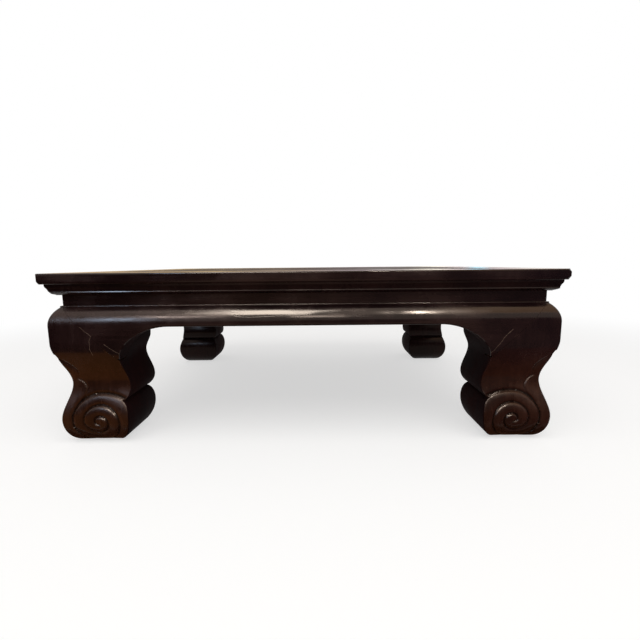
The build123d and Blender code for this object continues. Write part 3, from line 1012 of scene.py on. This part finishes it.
# copies of the lacquer that mirror less, for faces that turn down or inwards: painted shade that keeps these faces
# dark
dull_shade_lacquer = lacquer("lacquer_dull_shade", squeezes["upright"], wear=0.4, gloss=(0.5, 0.7), mirror=0.006)
half_shade_lacquer = lacquer("lacquer_shaded", squeezes["upright"], wear=0.4, gloss=(0.2, 0.4), mirror=0.1)
for kind, finish in finishes.items():
    for piece in PIECES[kind]:
        second = half_shade_lacquer if "leg_back" in piece.name or "rail" in piece.name else dull_shade_lacquer
        if not piece.material_slots:
            piece.data.materials.append(None)
        for place, its_finish in zip(piece.material_slots, (finish, second, dull_shade_lacquer)):
            place.material = its_finish


# %% [markdown]
# ## Boards, waist, braces and pegs
#
# The boards, the waist and the braces are flat, so the joiner's own shapes serve and only get a finish. A Weld
# modifier joins their loose triangles, and a small Bevel modifier takes the sharpness off their edges, which makes
# the seams between the boards show as fine lines. The braces and the pegs were never lacquered: they are bare,
# saw-marked timber.

# %% Group: sawn timber
inputs = {"Vector": None, "Along": None, "Dark": "colour", "Light": "colour"}
sawn, taken, given = shader_group("sawn_timber", inputs, ("Color", "Height"))
fibres = noise(taken["Along"], 260.0, 5.0, 0.65)
stains = spread(noise(taken["Vector"], 14.0, 4.0, 0.6), 0.5, 0.75, 0.0, 0.6)
rings = noise(taken["Along"], 45.0, 3.0, 0.5)
tone = plus(times(fibres, 0.45), times(rings, 0.55))
wood = blend(spread(tone, 0.35, 0.68), taken["Dark"], taken["Light"])
fill(given, {
    "Color": blend(stains, wood, (0.045, 0.03, 0.02, 1)),
    "Height": plus(fibres, times(rings, 1.5)),
})


# %% Bare wood
def bare_wood(name, squeeze):
    """Unlacquered timber whose grain runs along the squeezed axis."""
    material, place = new_material(name)
    run = add("Mapping", {"Vector": place, "Scale": squeeze}).outputs[0]
    timber = effect(sawn, Vector=place, Along=run, Dark=(0.085, 0.047, 0.026, 1), Light=(0.21, 0.13, 0.075, 1))
    grime = effect(dust, Vector=place)["Mask"]
    fill(material.node_tree.nodes["Principled BSDF"].inputs, {
        "Base Color": blend(grime, timber["Color"], (0.03, 0.021, 0.015, 1)),
        "Roughness": spread(timber["Height"], 0.5, 1.8, 0.6, 0.85),
        "Normal": add("Bump", {"Height": timber["Height"], "Distance": 0.0003}).outputs[0],
    })
    return material


# %% Dress the joiner's own parts
def dress(node, material, edge):
    """Give a joiner's part its finish and softened edges."""
    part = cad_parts[node]
    part.material_slots[0].material = material
    modify(part, "WELD", merge_threshold=touch)
    modify(part, "BEVEL", width=edge, segments=2, limit_method="ANGLE", angle_limit=math.radians(40))


board_finish = lacquer("lacquer_top", squeezes["long"], wear=0.9, gloss=(0.38, 0.7), mirror=0.25)
brace_finish = bare_wood("bare_wood_brace", squeezes["short"])
for family, names, finish, edge in (
    ("panel_board", ("front", "middle", "back"), board_finish, 0.3),
    ("waist", ("front", "back"), finishes["long"], 0.3),
    ("waist", ("left", "right"), finishes["short"], 0.3),
    ("brace", ("left", "middle", "right"), brace_finish, 1.0),
):
    for name in names:
        dress(f"{family}_{name}", finish, edge * mm)
peg_finish = bare_wood("bare_wood_peg", (1, 1, 1))
for piece in PIECES["peg"]:
    piece.data.materials.append(peg_finish)
print("Materials:", [material.name for material in bpy.data.materials])


# %% [markdown]
# ## Floor, light and background
#
# The table stands in a plain pale studio. Through the Light Path node, the camera and mirror reflections see floor
# and background as white, while the light that these give stays plain. The floor keeps the table's shadow, and from
# below it is clear, so that the underside can be looked at.

# %% Floor
def in_view():
    """1 for what the camera sees, straight, through glass or in a reflection, and 0 for what only lights."""
    path = add("LightPath").outputs
    seen = plus(path["Is Camera Ray"], path["Is Transmission Ray"], clamp=True)
    return plus(seen, path["Is Glossy Ray"], clamp=True)


def either(share, first, second):
    """Mix two shaders."""
    return add("MixShader", {0: share, 1: first.outputs[0], 2: second.outputs[0]})


floor = primitive("floor", bpy.ops.mesh.primitive_plane_add, (0, 0, 0), size=30)
floor_finish, place = new_material("pale_floor")
lit = add("BsdfDiffuse", {"Color": (0.6, 0.53, 0.47, 1)})
bright = add("BsdfDiffuse", {"Color": (0.5, 0.5, 0.5, 1)})
glow = add("Emission", {"Strength": 0.6})
white = add("AddShader", {0: bright.outputs[0], 1: glow.outputs[0]})
horizon = add("Emission")
white = either(spread(vectors("LENGTH", place), 0.9, 2.2), white, horizon)
clear = add("BsdfTransparent")
underside = add("NewGeometry").outputs["Backfacing"]
show(either(underside, either(in_view(), lit, white), clear))
floor.data.materials.append(floor_finish)

# %% World
world = bpy.data.worlds.new("studio")
bpy.context.scene.world = world
world.use_nodes = True
open_tree(world.node_tree)
seen = in_view()
fill(world.node_tree.nodes["Background"].inputs, {
    "Color": blend(seen, (0.8, 0.78, 0.76, 1), (1, 1, 1, 1)),
    "Strength": spread(seen, 0.0, 1.0, 0.5, 1.0),
})


# %% Lamps
def softbox(name, place, target, width, height, radiance, colour, kicker=True):
    """A flat rectangular lamp that looks as bright as its radiance says. A kicker only draws highlights."""
    lamp = bpy.data.lights.new(name, "AREA")
    lamp.shape = "RECTANGLE"
    lamp.size, lamp.size_y = width, height
    lamp.energy = radiance * math.pi * width * height
    lamp.color = colour
    holder = put(name, lamp)
    holder.location = place
    holder.rotation_euler = (Vector(target) - Vector(place)).to_track_quat("-Z", "Y").to_euler()
    holder.visible_camera = False
    holder.visible_diffuse = not kicker
    print(name, "gives", round(lamp.energy, 1), "W")


pearl = (1, 0.98, 0.95)
softbox("ceiling_lamp", (0, -1.2, 1.85), (0, -0.5, 0.2), 3.4, 1.7, 1.5, pearl, kicker=False)
softbox("strip_lamp", (-0.215, -1.03, 1.2), (-0.04, -0.37, 0.24), 0.5, 0.44, 33, (0.97, 1, 0.97))
softbox("spot_lamp", (0.42, -0.98, 0.93), (0.19, -0.37, 0.243), 0.07, 0.14, 210, (1, 1, 0.96))
softbox("low_lamp", (0, -1.32, 0.82), (0, -0.36, 0.06), 0.3, 0.16, 14, pearl)
softbox("left_lamp", (-0.58, -1.14, 0.78), (-0.245, -0.37, 0.235), 0.25, 0.09, 30, (1, 0.97, 1))
softbox("window_lamp", (-0.91, -1.33, 0.68), (-0.36, -0.37, 0.23), 0.15, 0.24, 31, (0.44, 0.66, 1))

# %% [markdown]
# ## Cards
#
# Cards are glowing sheets out of the camera's sight. They light nothing and show only as reflections, so they paint
# reflections. A dark card leans in front, so that the front faces reflect dark instead of the pale room, and an
# olive strip before it paints a warm reflection on the lower edge of the apron. A brown one before the feet paints a
# brown reflection on the legs, and a darker one under their toes a dark one. One overhead paints the highlight on
# the bulge of the apron, and a long one far behind paints the coloured sheen on the top.

# %% Cards
def card(name, low, high, rise, *shades):
    """A glowing plane between two corners, x by y, whose height runs from rise[0] to rise[1]. Its colour fades
    between the given shades, each an x and the red, green and blue there. It shows in reflections alone."""
    centre = ((low[0] + high[0]) / 2, (low[1] + high[1]) / 2, 0)
    size = (high[0] - low[0], high[1] - low[1], 1)
    sheet = primitive(name, bpy.ops.mesh.primitive_plane_add, centre, size, size=1)
    open_up(sheet)
    for height, line in zip(rise, (low[1], high[1])):
        pick(sheet, "VERT", lambda vert: abs(vert.co.y - line) < 0.1 * mm)
        bpy.ops.transform.translate(value=(0, 0, height))
    close_up()
    paint, place = new_material(name)
    across = add("SeparateXYZ", {0: place}).outputs["X"]
    colour = (*shades[0][1:], 1)
    for before, (here, *shade) in zip(shades, shades[1:]):
        colour = blend(spread(across, before[0], here), colour, (*shade, 1))
    show(add("Emission", {"Color": colour}))
    sheet.data.materials.append(paint)
    sheet.visible_camera = sheet.visible_diffuse = sheet.visible_shadow = False


# painted reflections: each card glows and shows only in the lacquer and the top
card("dark_reflection_card", (-3, -0.85), (3, -0.395), (0.345, 0.003),
     (-0.65, 0.02, 0.01, 0.008), (-0.15, 0.25, 0.175, 0.14), (0.25, 0.22, 0.17, 0.18), (0.8, 0.10, 0.08, 0.12))
card("olive_reflection_card", (-0.4, -0.665), (0.4, -0.6), (0.208, 0.159),
     (-0.4, 0.5, 0.4, 0.33), (-0.2, 0.7, 0.57, 0.47), (0.2, 0.7, 0.57, 0.47), (0.4, 0.5, 0.36, 0.3))
card("brown_reflection_card", (-0.75, -0.46), (0.75, -0.385), (0.06, 0.006),
     (-0.45, 0.5, 0.21, 0.06), (-0.15, 0.2, 0.1, 0.06), (0.15, 0.2, 0.1, 0.06), (0.5, 0.21, 0.08, 0.085))
card("toe_reflection_card", (-0.5, -0.386), (0.5, -0.335), (0.001, 0.001), (-0.4, 0.1, 0.04, 0.02), (0.4, 0.1, 0.04, 0.02))
card("ceiling_reflection_card", (-1.9, -1.75), (1.9, -0.25), (1.4, 1.4),
     (-1.3, 1.3, 1.2, 1.15), (-1.1, 1.7, 1.6, 1.6), (-0.7, 2.6, 2.4, 2.35), (-0.35, 1.8, 1.7, 1.6),
     (0.0, 1.6, 1.55, 1.5), (0.3, 2.2, 2.1, 2.0), (0.55, 2.0, 1.9, 1.75), (0.85, 2.3, 1.9, 1.4),
     (1.1, 1.9, 1.4, 0.95), (1.4, 1.8, 1.35, 0.95))
card("sheen_card", (-1.6, 1.1), (1.6, 1.11), (0.31, 0.9),
     (-1.1, 0.85, 0.62, 0.36), (-0.6, 0.95, 0.7, 0.38), (-0.2, 0.75, 0.57, 0.4), (0.2, 0.7, 0.58, 0.6),
     (0.45, 0.95, 0.87, 0.83), (0.6, 1.8, 1.7, 1.45), (0.8, 1.35, 1.15, 1.15), (0.88, 0.95, 1.5, 1.75),
     (0.97, 1.0, 0.85, 0.85), (1.2, 1.2, 1.08, 1.0))
